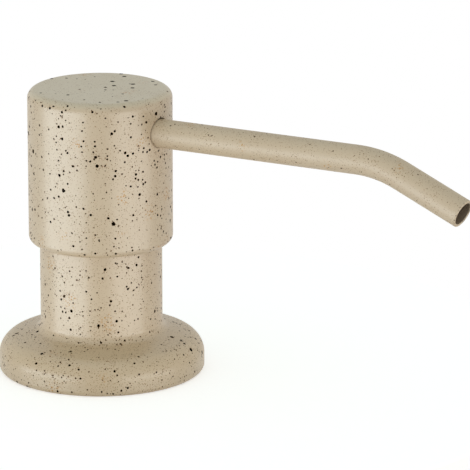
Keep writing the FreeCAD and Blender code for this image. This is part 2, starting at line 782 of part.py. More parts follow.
def make_return_spring():
    wire = value("spring_wire")
    radius = value("spring_radius")
    turns = value("spring_turns")
    end_pitch = value("spring_end_pitch")
    climb = value("spring_rest") - wire
    middle_pitch = (climb - 2 * end_pitch) / (turns - 2)
    quarter = 0.25
    samples_per_turn = 48

    def height(turn):
        # Close turns at both ends, wide ones between
        low = end_pitch * min(turn, 1)
        middle = middle_pitch * min(max(turn - 1, 0), turns - 2)
        return low + middle + end_pitch * max(turn - turns + 1, 0)

    def point(turn):
        angle = 2 * math.pi * turn
        return FreeCAD.Vector(radius * math.cos(angle), radius * math.sin(angle), height(turn) + wire / 2)

    def direction(turn):
        low = max(turn - quarter, 0)
        high = min(turn + quarter, turns)
        slope = (height(high) - height(low)) / (high - low)
        angle = 2 * math.pi * turn
        around = 2 * math.pi * radius
        return FreeCAD.Vector(-around * math.sin(angle), around * math.cos(angle), slope).normalize()

    count = math.ceil(turns / quarter)
    places_along = [turns * step / count for step in range(count + 1)]
    edges = []
    for here, after in zip(places_along, places_along[1:]):
        first, second = biarc(point(here), direction(here), point(after), direction(after))
        edges += [first, second]
    path = Part.Wire(Part.__sortEdges__(edges))
    section = Part.Wire(Part.Circle(point(0), direction(0), wire / 2).toShape())
    shell = Part.BRepOffsetAPI.MakePipeShell(path)
    shell.add(section)
    shell.build()
    shell.makeSolid()
    spring = doc.addObject("Part::Feature", "return_spring")
    spring.Shape = shell.shape()
    bind(spring, Placement__Base__z="spring_foot")
    ideal = math.pi * wire ** 2 / 4 * path.Length
    samples = [sample / samples_per_turn for sample in range(int(samples_per_turn * turns) + 1)]
    points = [(sample, point(sample)) for sample in samples]
    spacing = min((b - a).Length for t, a in points for u, b in points if u - t > 2 * quarter)
    gap = spacing - wire
    print(f"return_spring: volume {spring.Shape.Volume:.2f} of {ideal:.2f} mm3, least gap {gap:.2f} mm")
    return spring


def make_head_shell():
    body = turned("head_shell", "head_foot", [
        ("head_skirt", "0"),
        ("head_radius", "0"),
        ("head_radius", "head_height"),
        ("0", "head_height"),
        ("0", "head_height - head_roof"),
        ("head_skirt", "head_height - head_roof"),
    ])
    round_rims(body, "head_top_round", ("head_radius", "head_height"))
    round_rims(body, "head_foot_round", ("head_radius", "0"))
    spout_cylinder(body, "PartDesign::SubtractiveCylinder", "spout_opening", "spout_radius + spout_opening_gap",
                   "spout_root", "head_radius", "head_foot - spout_opening_lift")
    return body


def make_head_core():
    top = "head_ceiling - core_foot"
    roof = "head_ceiling - core_roof - core_foot"
    rim = "core_radius - core_rim_wall"
    chamber = "spout_level + channel_radius - core_foot"
    socket = "stem_top - core_foot"
    body = turned("head_core", "core_foot", [
        ("socket_bore", "0"),
        ("core_boss_radius", "0"),
        ("core_boss_radius", roof),
        (rim, roof),
        (rim, "0"),
        ("core_radius", "0"),
        ("core_radius", top),
        ("0", top),
        ("0", chamber),
        ("channel_radius", chamber),
        ("channel_radius", socket),
        ("socket_bore", socket),
    ])
    arm_start = "(socket_bore + core_boss_radius) / 2"
    arm_end = "sqrt((core_radius - core_rim_wall / 4)^2 - core_arm_radius^2)"
    ring_start = "spout_root + spout_ring_place - spout_ring_section - ring_gap"
    spout_cylinder(body, "PartDesign::AdditiveCylinder", "arm", "core_arm_radius", arm_start,
                   f"{arm_end} - {arm_start}", "core_foot")
    spout_cylinder(body, "PartDesign::SubtractiveCylinder", "channel", "channel_radius", "0",
                   "spout_root", "core_foot")
    spout_cylinder(body, "PartDesign::SubtractiveCylinder", "spout_socket", "spout_hole", "spout_root",
                   "core_radius", "core_foot")
    spout_cylinder(body, "PartDesign::SubtractiveCylinder", "spout_ring_groove", "spout_ring_room",
                   ring_start, "2 * (spout_ring_section + ring_gap)", "core_foot")
    return body


def make_spout_tube():
    # Modelled with its straight run along the body's own X axis, then tilted by its rise
    body = new_body("spout_tube", "spout_level")
    path = new_sketch(body, "spout_path", "XZ_Plane")
    straight = value("spout_straight")
    bend = value("spout_bend_radius")
    turn = math.radians(value("spout_rise + spout_drop"))
    centre = FreeCAD.Vector(straight, -bend, 0)
    bend_end = centre + FreeCAD.Vector(math.sin(turn), math.cos(turn), 0) * bend
    mouth = bend_end + FreeCAD.Vector(math.cos(turn), -math.sin(turn), 0) * value("spout_end")
    circle = Part.Circle(centre, FreeCAD.Vector(0, 0, 1), bend)
    path.addGeometry([
        Part.LineSegment(FreeCAD.Vector(value("spout_root"), 0, 0), FreeCAD.Vector(straight, 0, 0)),
        Part.ArcOfCircle(circle, math.pi / 2 - turn, math.pi / 2),
        Part.LineSegment(bend_end, mouth),
    ], False)
    pin_point(path, 0, 1, "spout_root", "0")
    pin_point(path, 0, 2, "spout_straight", "0")
    path.addConstraint(Sketcher.Constraint("Tangent", 0, 2, 1, 2))
    path.addConstraint(Sketcher.Constraint("Tangent", 1, 1, 2, 1))
    dimension(path, "spout_bend_radius", "Radius", 1)
    bend_reach = "spout_straight + spout_bend_radius * sin(spout_rise + spout_drop)"
    dimension(path, bend_reach, "DistanceX", -1, 1, 2, 1)
    dimension(path, "spout_end", "Distance", 2)
    section = new_sketch(body, "spout_section", "YZ_Plane")
    bind(section, AttachmentOffset__Base__z="spout_root")
    for radius in ("spout_radius", "spout_radius - spout_wall"):
        circle = Part.Circle(FreeCAD.Vector(), FreeCAD.Vector(0, 0, 1), value(radius))
        number = section.addGeometry(circle, False)
        section.addConstraint(Sketcher.Constraint("Coincident", number, 3, -1, 1))
        dimension(section, radius, "Radius", number)
    doc.recompute()
    pipe = body.newObject("PartDesign::AdditivePipe", "spout_pipe")
    pipe.Profile = section
    pipe.Spine = (path, ["Edge1", "Edge2", "Edge3"])
    doc.recompute()
    mouth_point = FreeCAD.Vector(mouth.x, 0, mouth.y)
    names = []
    for number, edge in enumerate(pipe.Shape.Edges, start=1):
        if isinstance(edge.Curve, Part.Circle) and edge.Curve.Center.isEqual(mouth_point, same_spot):
            names.append(f"Edge{number}")
    fillet = body.newObject("PartDesign::Fillet", "spout_mouth")
    fillet.Base = (pipe, names)
    bind(fillet, Radius="mouth_round")
    body.Placement.Rotation = FreeCAD.Rotation(FreeCAD.Vector(0, -1, 0), 1)
    bind(body, Placement__Rotation__Angle="spout_rise")
    doc.recompute()
    return body


def make_spout_o_ring():
    ring = o_ring("spout_o_ring", "spout_hole + spout_ring_section", "spout_ring_section", "0")
    on_spout_line(ring, "spout_root + spout_ring_place", "0")
    return ring


def make_swivel_o_ring():
    radius = "stem_radius - swivel_ring_section"
    return o_ring("swivel_o_ring", radius, "swivel_ring_section", "stem_top - swivel_ring_place")


def make_stem_seal():
    return o_ring("stem_seal", "guide_bore + wiper_section", "wiper_section", "closure_top - wiper_place")


nodes = [
    make_head_shell(),
    make_head_core(),
    make_spout_tube(),
    make_spout_o_ring(),
    make_swivel_o_ring(),
    make_piston_stem(),
    make_piston_seal(),
    make_outlet_seat(),
    ball("outlet_ball", "outlet_ball_radius", "outlet_ball_level"),
    make_return_spring(),
    make_stem_guide(),
    make_stem_seal(),
    make_closure_cap(),
    make_pump_gasket(),
    make_pump_cylinder(),
    make_ball_cage(),
    ball("inlet_ball", "inlet_ball_radius", "inlet_ball_level"),
    make_dip_tube(),
    make_base_collar(),
    make_deck_gasket(),
    make_shank(),
    make_clamp_washer(),
    make_mounting_nut(),
    make_bottle_gasket(),
    make_bottle(),
]
doc.recompute()

for item in doc.Objects:
    if "Invalid" in item.State or "Error" in item.State:
        raise RuntimeError(f"{item.Label} failed: {item.State}")
for node in nodes:
    if node.Shape.isNull() or not node.Shape.isValid() or len(node.Shape.Solids) != 1:
        raise RuntimeError(f"{node.Label} is not one valid solid")

os.makedirs("parts", exist_ok=True)
for node in nodes:
    node.Shape.exportStep(f"parts/{node.Label}.step")
    box = node.Shape.optimalBoundingBox()
    print(f"{node.Label}: {node.Shape.Volume / 1000:.3f} cm3, z {box.ZMin:.2f} to {box.ZMax:.2f}")
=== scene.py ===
import math

import bpy
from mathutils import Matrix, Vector


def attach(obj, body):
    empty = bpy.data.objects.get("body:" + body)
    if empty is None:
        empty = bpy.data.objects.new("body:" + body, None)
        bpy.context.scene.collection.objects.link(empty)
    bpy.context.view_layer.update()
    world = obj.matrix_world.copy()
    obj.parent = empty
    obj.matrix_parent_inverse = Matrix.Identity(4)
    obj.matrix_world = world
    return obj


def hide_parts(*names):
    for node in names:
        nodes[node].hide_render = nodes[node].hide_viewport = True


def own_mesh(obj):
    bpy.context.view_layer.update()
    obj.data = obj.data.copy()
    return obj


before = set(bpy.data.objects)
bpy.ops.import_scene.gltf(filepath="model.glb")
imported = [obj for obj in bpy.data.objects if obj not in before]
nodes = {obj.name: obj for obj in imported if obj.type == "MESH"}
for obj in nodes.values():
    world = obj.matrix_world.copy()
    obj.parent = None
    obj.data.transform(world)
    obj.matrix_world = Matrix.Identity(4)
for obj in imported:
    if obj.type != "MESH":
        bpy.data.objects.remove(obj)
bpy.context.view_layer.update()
scene = bpy.context.scene
mm = 0.001
noiseReach = (0.3, 0.7)                    # what a noise texture's values mostly lie between
for spare in ("Cube", "Light", "Camera"):  # what Blender's own start-up file brings along
    if spare in bpy.data.objects:
        bpy.data.objects.remove(bpy.data.objects[spare])


def linear(hexColour):
    shares = [int(hexColour[i:i + 2], 16) / 255 for i in (1, 3, 5)]
    return [s / 12.92 if s <= 0.04045 else ((s + 0.055) / 1.055) ** 2.4 for s in shares] + [1.0]


def addNode(tree, kind, settings=None, inputs=None):
    # one node with its settings; an input is a fixed value or the socket that it is linked to
    node = tree.nodes.new(kind)
    for name, value in (settings or {}).items():
        setattr(node, name, value)
    for name, value in (inputs or {}).items():
        if isinstance(value, bpy.types.NodeSocket):
            tree.links.new(value, node.inputs[name])
        else:
            node.inputs[name].default_value = value
    return node


def newMaterial(name):
    material = bpy.data.materials.new(name)
    material.use_nodes = True
    material.node_tree.nodes.clear()
    tree = material.node_tree
    place = addNode(tree, "ShaderNodeTexCoord").outputs["Object"]
    return material, tree, place


def finishMaterial(tree, sockets):
    surface = addNode(tree, "ShaderNodeBsdfPrincipled", None, sockets)
    addNode(tree, "ShaderNodeOutputMaterial", None, {"Surface": surface.outputs[0]})


def dress(material, *names):
    for name in names:
        nodes[name].data.materials.clear()
        nodes[name].data.materials.append(material)


# Camera

photoCamera = {
    "azimuth": 33.0,          # degrees round from the front, towards the spout
    "elevation": 15.8,
    "distance": 1.2,
    "aside": 35.7 * mm,       # the frame's centre, to the right of the pump's axis
    "height": 36.7 * mm,      # and above the deck
    "lens": 345.0,
    "sensor": 36.0,
    "clip": (0.05, 20.0),     # nearest and farthest that it sees, in metres
}


def direction(azimuth, elevation):
    a, e = math.radians(azimuth), math.radians(elevation)
    return Vector((math.sin(a) * math.cos(e), -math.cos(a) * math.cos(e), math.sin(e)))


def addCamera(values):
    data = bpy.data.cameras.new("photoCamera")
    data.lens, data.sensor_width = values["lens"], values["sensor"]
    data.clip_start, data.clip_end = values["clip"]
    camera = bpy.data.objects.new("photoCamera", data)
    scene.collection.objects.link(camera)
    back = direction(values["azimuth"], values["elevation"])
    aside = direction(values["azimuth"] + 90, 0)
    target = aside * values["aside"] + Vector((0, 0, values["height"]))
    camera.location = target + back * values["distance"]
    camera.rotation_euler = (-back).to_track_quat("-Z", "Y").to_euler()
    scene.camera = camera


addCamera(photoCamera)
print("camera: azimuth", photoCamera["azimuth"], "elevation", photoCamera["elevation"])


# Studio: a white room with soft boxes, and a round white worktop as its floor

room = {
    # what the camera sees: pale grey, but lit white within the first angle of the photograph's view, in degrees,
    # and less and less on to the second
    "backdrop": {"colour": "#E6E5E2", "lit": "#FFFFFF", "spread": (5.5, 14.0)},
    # what lights the object: each side begins and is full at these heights, from -1 straight down to 1 straight up
    "ceiling": {"colour": "#F2FFFC", "level": 0.735, "from": 0.45, "to": 0.85},  # a little cool
    "walls": {"colour": "#FFFFFF", "level": 0.435, "from": -0.25, "to": 0.25},
    "floor": {"colour": "#FFFFFF", "level": 0.2},                                # thrown back from below
}


def seenRays(tree):
    # the light path's outputs, and 1 on what the camera sees, be it straight, mirrored or through something clear
    rays = addNode(tree, "ShaderNodeLightPath").outputs
    seen = rays["Is Camera Ray"]
    for other in ("Is Glossy Ray", "Is Transmission Ray"):
        seen = addNode(tree, "ShaderNodeMath", {"operation": "MAXIMUM"}, {0: seen, 1: rays[other]}).outputs[0]
    return rays, seen


def addRoom(values):
    world = bpy.data.worlds.new("whiteRoom")
    scene.world = world
    world.use_nodes = True
    tree = world.node_tree
    tree.nodes.clear()
    heading = addNode(tree, "ShaderNodeTexCoord").outputs["Generated"]
    height = addNode(tree, "ShaderNodeSeparateXYZ", None, {0: heading}).outputs["Z"]
    tint = [part * values["floor"]["level"] for part in linear(values["floor"]["colour"])]
    for side in (values["walls"], values["ceiling"]):
        reached = addNode(tree, "ShaderNodeMapRange", {"interpolation_type": "SMOOTHSTEP"}, {
            "Value": height, "From Min": side["from"], "From Max": side["to"]}).outputs[0]
        tint = addNode(tree, "ShaderNodeMix", {"data_type": "RGBA"}, {
            0: reached, 6: tint, 7: [part * side["level"] for part in linear(side["colour"])]}).outputs[2]
    light = addNode(tree, "ShaderNodeBackground", None, {"Color": tint, "Strength": 1.0}).outputs[0]
    inner, outer = (math.cos(math.radians(angle)) for angle in values["backdrop"]["spread"])
    middle = -direction(photoCamera["azimuth"], photoCamera["elevation"])
    nearMiddle = addNode(tree, "ShaderNodeVectorMath", {"operation": "DOT_PRODUCT"}, {
        0: heading, 1: middle}).outputs["Value"]
    lit = addNode(tree, "ShaderNodeMapRange", {"interpolation_type": "SMOOTHSTEP"}, {
        "Value": nearMiddle, "From Min": outer, "From Max": inner}).outputs[0]
    paper = addNode(tree, "ShaderNodeMix", {"data_type": "RGBA"}, {
        0: lit, 6: linear(values["backdrop"]["colour"]), 7: linear(values["backdrop"]["lit"])}).outputs[2]
    backdrop = addNode(tree, "ShaderNodeBackground", None, {"Color": paper, "Strength": 1.0}).outputs[0]
    seen = seenRays(tree)[1]
    mixed = addNode(tree, "ShaderNodeMixShader", None, {0: seen, 1: light, 2: backdrop}).outputs[0]
    addNode(tree, "ShaderNodeOutputWorld", None, {"Surface": mixed})


addRoom(room)

softBoxes = {
    "target": (0, 0, 40 * mm),
    # angles as the camera's, lengths in metres, power in watts; one without gloss leaves no highlight
    "boxes": {
        "softBoxLeft": {"azimuth": -27, "elevation": -12, "distance": 0.9, "width": 1.3, "height": 0.5,
                        "power": 5.6, "colour": "#F4FCFF", "gloss": True},
        "softBoxRight": {"azimuth": 85, "elevation": -12, "distance": 0.9, "width": 1.05, "height": 0.5,
                         "power": 3.45, "colour": "#FFFEF9", "gloss": True},
        "softBoxBack": {"azimuth": 213, "elevation": -22, "distance": 1.0, "width": 1.1, "height": 0.5,
                        "power": 2.4, "colour": "#FFFFFF", "gloss": False},
    },
}


def addSoftBoxes(values):
    for name, box in values["boxes"].items():
        data = bpy.data.lights.new(name, "AREA")
        data.shape, data.size, data.size_y = "RECTANGLE", box["width"], box["height"]
        data.energy = box["power"]
        data.color = linear(box["colour"])[:3]
        lamp = bpy.data.objects.new(name, data)
        scene.collection.objects.link(lamp)
        away = direction(box["azimuth"], box["elevation"])
        lamp.location = Vector(values["target"]) + away * box["distance"]
        lamp.rotation_euler = (-away).to_track_quat("-Z", "Y").to_euler()
        lamp.visible_camera = False
        lamp.visible_glossy = box["gloss"]


addSoftBoxes(softBoxes)

worktop = {
    "radius": 120 * mm,
    "hole": 14.6 * mm,            # for the shank
    "thickness": 20 * mm,         # what the clamp is drawn for
    "edge": 0.6 * mm,
    "edgeSteps": 3,
    "sides": 192,                 # straight runs in each of its circles
    "colour": "#E4E4E2",
    "glow": (0.40, 0.56),         # what the camera sees of sides and top beyond their lit surface
    "glowColour": "#FFFFFF",
    "facing": (0.2, 0.6),         # how much a face looks up where the sides' glow goes over into the top's
    "shade": (37 * mm, 66 * mm),  # it stops a share of the light within the first radius, none beyond the second
    "shadeShare": 0.62,
    "grainMm": 0.8,
    "grainHeightMm": 0.01,
    "grainStrength": 0.1,
}


def worktopSlab(values):
    curve = bpy.data.curves.new("worktop", "CURVE")
    curve.dimensions, curve.fill_mode = "2D", "BOTH"
    curve.extrude = values["thickness"] / 2 - values["edge"]
    curve.bevel_depth, curve.bevel_resolution = values["edge"], values["edgeSteps"]
    curve.offset = -values["edge"]
    for radius in (values["radius"], values["hole"]):
        spline = curve.splines.new("POLY")
        spline.points.add(values["sides"] - 1)
        for step, point in enumerate(spline.points):
            a = 2 * math.pi * step / values["sides"]
            point.co = (radius * math.cos(a), radius * math.sin(a), 0, 1)
        spline.use_cyclic_u = True
    holder = bpy.data.objects.new("worktop", curve)
    scene.collection.objects.link(holder)
    mesh = bpy.data.meshes.new_from_object(holder.evaluated_get(bpy.context.evaluated_depsgraph_get()))
    bpy.data.objects.remove(holder)
    for corner in mesh.vertices:
        corner.co.z -= values["thickness"] / 2
    slab = bpy.data.objects.new("worktop", mesh)
    scene.collection.objects.link(slab)
    return slab


def pressedLaminate(values):
    # High-pressure laminate, pressed smooth: near white with a very faint even grain
    material, tree, place = newMaterial("pressedWhiteLaminate")
    grain = addNode(tree, "ShaderNodeTexNoise", None, {
        "Vector": place, "Scale": 1 / (values["grainMm"] * mm), "Detail": 2.0}).outputs[0]
    relief = addNode(tree, "ShaderNodeBump", None, {
        "Height": grain, "Strength": values["grainStrength"],
        "Distance": values["grainHeightMm"] * mm}).outputs[0]
    skin = addNode(tree, "ShaderNodeBsdfDiffuse", None, {
        "Color": linear(values["colour"]), "Normal": relief}).outputs[0]
    rays, seen = seenRays(tree)
    facing = addNode(tree, "ShaderNodeNewGeometry").outputs["True Normal"]
    facing = addNode(tree, "ShaderNodeSeparateXYZ", None, {0: facing}).outputs["Z"]
    low, high = values["facing"]
    sides, top = values["glow"]
    glow = addNode(tree, "ShaderNodeMapRange", None, {
        "Value": facing, "From Min": low, "From Max": high, "To Min": sides, "To Max": top}).outputs[0]
    glow = addNode(tree, "ShaderNodeMath", {"operation": "MULTIPLY"}, {0: seen, 1: glow}).outputs[0]
    shine = addNode(tree, "ShaderNodeEmission", None, {
        "Color": linear(values["glowColour"]), "Strength": glow}).outputs[0]
    both = addNode(tree, "ShaderNodeAddShader", None, {0: skin, 1: shine}).outputs[0]
    # further out the soft boxes shine up through it, as light thrown back by a wide white table does
    flat = addNode(tree, "ShaderNodeVectorMath", {"operation": "MULTIPLY"}, {0: place, 1: (1, 1, 0)}).outputs[0]
    away = addNode(tree, "ShaderNodeVectorMath", {"operation": "LENGTH"}, {0: flat}).outputs["Value"]
    near, far = values["shade"]
    closed = addNode(tree, "ShaderNodeMapRange", {"interpolation_type": "SMOOTHSTEP"}, {
        "Value": away, "From Min": near, "From Max": far,
        "To Min": values["shadeShare"], "To Max": 0.0}).outputs[0]
    closed = addNode(tree, "ShaderNodeMath", {"operation": "MAXIMUM"}, {
        0: closed, 1: rays["Is Camera Ray"]}).outputs[0]
    clear = addNode(tree, "ShaderNodeBsdfTransparent").outputs[0]
    laid = addNode(tree, "ShaderNodeMixShader", None, {0: closed, 1: clear, 2: both}).outputs[0]
    addNode(tree, "ShaderNodeOutputMaterial", None, {"Surface": laid})
    return material


slab = worktopSlab(worktop)
slab.data.materials.append(pressedLaminate(worktop))
print("studio:", len(softBoxes["boxes"]), "soft boxes and a worktop")


# Coated metal: head, collar and spout

enamel = {
    "sand": ("#CDB697", "#D5C2A5"),      # two tones, with a wide, faint drift between them
    "topSandPaintedSheen": ("#D0BEA0", "#D8CAAF"),   # painted sheen: the head's top is painted greyer, for the pale reflection it catches there
    "footSandPaintedShade": ("#CAB18E", "#D2BD9C"),  # painted shade: the flange is painted a little browner and darker, for the dimmer, warmer light it gets
    "topEdge": (75.4, 76.7),             # heights in mm between which the coat goes over into the top's painted sheen
    "footEdge": (10.5, 14.0),            # and from the flange's painted shade into the neck's coat
    "driftMm": 16.0,
    "raggedMm": 0.55,                    # specks are a little ragged at this size
    "raggedReachMm": 0.16,
    "crowdMm": 7.0,                      # specks gather in patches of about this size
    "crowdEdge": (0.36, 0.58),           # from bare to crowded, in the noise that places the patches
    "orangePeelMm": 1.8,
    "orangePeelHeightMm": 0.004,
    "roughness": (0.31, 0.37),
    "specularLevel": 1.0,
    "specks": [
        # cell is the room that each speck has; radii, softness and halo are in millimetres
        # a higher skew makes large ones rarer; shift keeps the layers out of step
        # share is how many cells hold one, onTop and onFoot how many times that on the head's top and the flange
        # crowd is how much smaller they are outside the patches
        {"cell": 0.37, "radii": (0.04, 0.10), "skew": 1.4, "share": 0.8, "onTop": 0.8, "onFoot": 1.25,
         "soft": 0.03, "halo": 0.05, "colour": "#5A3A14", "cover": 0.7, "crowd": 0.4,
         "shift": (0.013, 0.002, 0.007)},
        {"cell": 0.62, "radii": (0.06, 0.12), "skew": 1.0, "share": 0.55, "onTop": 0.5, "onFoot": 1.8,
         "soft": 0.03, "halo": 0.05, "colour": "#4E3608", "cover": 0.8, "crowd": 0.2,
         "shift": (0.009, 0.027, 0.033)},
        {"cell": 0.90, "radii": (0.10, 0.26), "skew": 1.8, "share": 0.38, "onTop": 0.08, "onFoot": 1.75,
         "soft": 0.02, "halo": 0.06, "colour": "#2A1800", "cover": 1.0, "crowd": 0.4,
         "shift": (0.021, 0.015, 0.003)},
        {"cell": 1.40, "radii": (0.20, 0.43), "skew": 1.5, "share": 0.7, "onTop": 0.06, "onFoot": 0.6,
         "soft": 0.005, "halo": 0.06, "colour": "#0E0600", "cover": 1.0, "crowd": 0.3,
         "shift": (0.004, 0.031, 0.017)},
        {"cell": 3.00, "radii": (0.36, 0.66), "skew": 1.4, "share": 0.22, "onTop": 2.5, "onFoot": 1.0,
         "soft": 0.005, "halo": 0.08, "colour": "#0A0400", "cover": 1.0, "crowd": 0.1,
         "shift": (0.019, 0.008, 0.0486)},
    ],
    "speckShine": 0.0,                   # what the specks keep of the enamel's gloss
    "speckRoughness": 0.12,              # how much rougher they are
    "speckHeight": 0.5,                  # how far they stand up, in heights of the orange peel
    "haloColour": "#A06A1C",             # iron in the specks stains the enamel round them
    "haloCover": 0.6,
    # orange-brown grains, gathered in a few small clouds; sizes in millimetres, grainSoft in grain radii
    "rust": {"cell": 9.0, "radius": 2.0, "soft": 1.0, "share": 0.7, "grainCell": 0.75, "grainRadius": 0.24,
             "grainSoft": 0.4, "colour": "#BA8014", "cover": 0.95},
}


def rustClouds(tree, rust, place, swayed, colour):
    cloud = addNode(tree, "ShaderNodeTexVoronoi", None, {
        "Vector": place, "Scale": 1 / (rust["cell"] * mm)}).outputs
    cloudChance = addNode(tree, "ShaderNodeSeparateColor", None, {0: cloud["Color"]}).outputs[0]
    cloudHeld = addNode(tree, "ShaderNodeMath", {"operation": "LESS_THAN"}, {
        0: cloudChance, 1: rust["share"]}).outputs[0]
    cloudEdge = addNode(tree, "ShaderNodeMapRange", {"interpolation_type": "SMOOTHSTEP"}, {
        "Value": cloud["Distance"], "From Min": (rust["radius"] - rust["soft"]) / rust["cell"],
        "From Max": (rust["radius"] + rust["soft"]) / rust["cell"],
        "To Min": rust["cover"], "To Max": 0.0}).outputs[0]
    grains = addNode(tree, "ShaderNodeTexVoronoi", None, {
        "Vector": swayed, "Scale": 1 / (rust["grainCell"] * mm)}).outputs
    grainSize = rust["grainRadius"] / rust["grainCell"]
    grainEdge = addNode(tree, "ShaderNodeMapRange", {"interpolation_type": "SMOOTHSTEP"}, {
        "Value": grains["Distance"], "From Min": (1 - rust["grainSoft"]) * grainSize,
        "From Max": (1 + rust["grainSoft"]) * grainSize, "To Min": 1.0, "To Max": 0.0}).outputs[0]
    mask = addNode(tree, "ShaderNodeMath", {"operation": "MULTIPLY"}, {0: cloudEdge, 1: grainEdge}).outputs[0]
    mask = addNode(tree, "ShaderNodeMath", {"operation": "MULTIPLY"}, {0: mask, 1: cloudHeld}).outputs[0]
    return addNode(tree, "ShaderNodeMix", {"data_type": "RGBA"}, {
        0: mask, 6: colour, 7: linear(rust["colour"])}).outputs[2]


def thrownSpecks(tree, values, swayed, crowd, onTop, atFoot, colour):
    # each cell of a Voronoi texture holds one speck or none; its random colour gives the size and the chance
    bare, crowded = values["crowdEdge"]
    covered = None
    for speck in values["specks"]:
        spot = addNode(tree, "ShaderNodeVectorMath", {"operation": "ADD"}, {
            0: swayed, 1: speck["shift"]}).outputs[0]
        cells = addNode(tree, "ShaderNodeTexVoronoi", None, {
            "Vector": spot, "Scale": 1 / (speck["cell"] * mm)}).outputs
        chance = addNode(tree, "ShaderNodeSeparateColor", None, {0: cells["Color"]}).outputs
        small, large = (radius / speck["cell"] for radius in speck["radii"])
        size = addNode(tree, "ShaderNodeMath", {"operation": "POWER"}, {
            0: chance[0], 1: speck["skew"]}).outputs[0]
        size = addNode(tree, "ShaderNodeMapRange", None, {
            "Value": size, "To Min": small, "To Max": large}).outputs[0]
        patch = addNode(tree, "ShaderNodeMapRange", {"interpolation_type": "SMOOTHSTEP"}, {
            "Value": crowd, "From Min": bare, "From Max": crowded,
            "To Min": 1 - speck["crowd"], "To Max": 1.0}).outputs[0]
        size = addNode(tree, "ShaderNodeMath", {"operation": "MULTIPLY"}, {0: size, 1: patch}).outputs[0]
        beyond = addNode(tree, "ShaderNodeMath", {"operation": "SUBTRACT"}, {
            0: cells["Distance"], 1: size}).outputs[0]
        share = addNode(tree, "ShaderNodeMapRange", None, {
            "Value": onTop, "To Min": speck["share"], "To Max": speck["share"] * speck["onTop"]}).outputs[0]
        onFoot = addNode(tree, "ShaderNodeMapRange", None, {
            "Value": atFoot, "To Min": 1.0, "To Max": speck["onFoot"]}).outputs[0]
        share = addNode(tree, "ShaderNodeMath", {"operation": "MULTIPLY"}, {0: share, 1: onFoot}).outputs[0]
        held = addNode(tree, "ShaderNodeMath", {"operation": "LESS_THAN"}, {0: chance[1], 1: share}).outputs[0]
        soft, halo = speck["soft"] / speck["cell"], speck["halo"] / speck["cell"]
        for tone, cover, reach in ((values["haloColour"], values["haloCover"], soft + halo),
                                   (speck["colour"], speck["cover"], soft)):
            mask = addNode(tree, "ShaderNodeMapRange", {"interpolation_type": "SMOOTHSTEP"}, {
                "Value": beyond, "From Min": -soft, "From Max": reach,
                "To Min": cover, "To Max": 0.0}).outputs[0]
            mask = addNode(tree, "ShaderNodeMath", {"operation": "MULTIPLY"}, {0: mask, 1: held}).outputs[0]
            colour = addNode(tree, "ShaderNodeMix", {"data_type": "RGBA"}, {
                0: mask, 6: colour, 7: linear(tone)}).outputs[2]
        covered = mask if covered is None else addNode(tree, "ShaderNodeMath", {"operation": "MAXIMUM"}, {
            0: covered, 1: mask}).outputs[0]
    return colour, covered


def bareMouthWithBoreShade(tree, mouth, place, colour):
    # the tube is bare inside, in a colour dark enough to be painted shade in the bore as well, and the coating is
    # chipped at its rim
    drop = math.radians(mouth["drop"])
    run = (math.cos(drop), 0.0, -math.sin(drop))
    offset = addNode(tree, "ShaderNodeVectorMath", {"operation": "SUBTRACT"}, {
        0: place, 1: [part * mm for part in mouth["centre"]]}).outputs[0]
    along = addNode(tree, "ShaderNodeVectorMath", {"operation": "DOT_PRODUCT"}, {
        0: offset, 1: run}).outputs["Value"]
    onRun = addNode(tree, "ShaderNodeVectorMath", {"operation": "SCALE"}, {0: run, "Scale": along}).outputs[0]
    away = addNode(tree, "ShaderNodeVectorMath", {"operation": "DISTANCE"}, {
        0: offset, 1: onRun}).outputs["Value"]
    clean, coated = (mouth["bore"] + past for past in mouth["boreEdge"])
    inside = addNode(tree, "ShaderNodeMapRange", None, {
        "Value": away, "From Min": clean * mm, "From Max": coated * mm, "To Min": 1.0, "To Max": 0.0}).outputs[0]
    near = addNode(tree, "ShaderNodeMath", {"operation": "GREATER_THAN"}, {
        0: along, 1: -mouth["depth"] * mm}).outputs[0]
    bare = addNode(tree, "ShaderNodeMath", {"operation": "MULTIPLY"}, {0: inside, 1: near}).outputs[0]
    whole, chipped = mouth["chipEdge"]
    chips = addNode(tree, "ShaderNodeTexNoise", None, {
        "Vector": place, "Scale": 1 / (mouth["chipMm"] * mm), "Detail": 2.0}).outputs[0]
    chips = addNode(tree, "ShaderNodeMapRange", None, {
        "Value": chips, "From Min": whole, "From Max": chipped}).outputs[0]
    start, end = mouth["rim"]
    rim = addNode(tree, "ShaderNodeMapRange", None, {
        "Value": along, "From Min": start * mm, "From Max": end * mm}).outputs[0]
    chips = addNode(tree, "ShaderNodeMath", {"operation": "MULTIPLY"}, {0: chips, 1: rim}).outputs[0]
    bare = addNode(tree, "ShaderNodeMath", {"operation": "MAXIMUM"}, {0: bare, 1: chips}).outputs[0]
    return addNode(tree, "ShaderNodeMix", {"data_type": "RGBA"}, {
        0: bare, 6: colour, 7: linear(mouth["colour"])}).outputs[2]


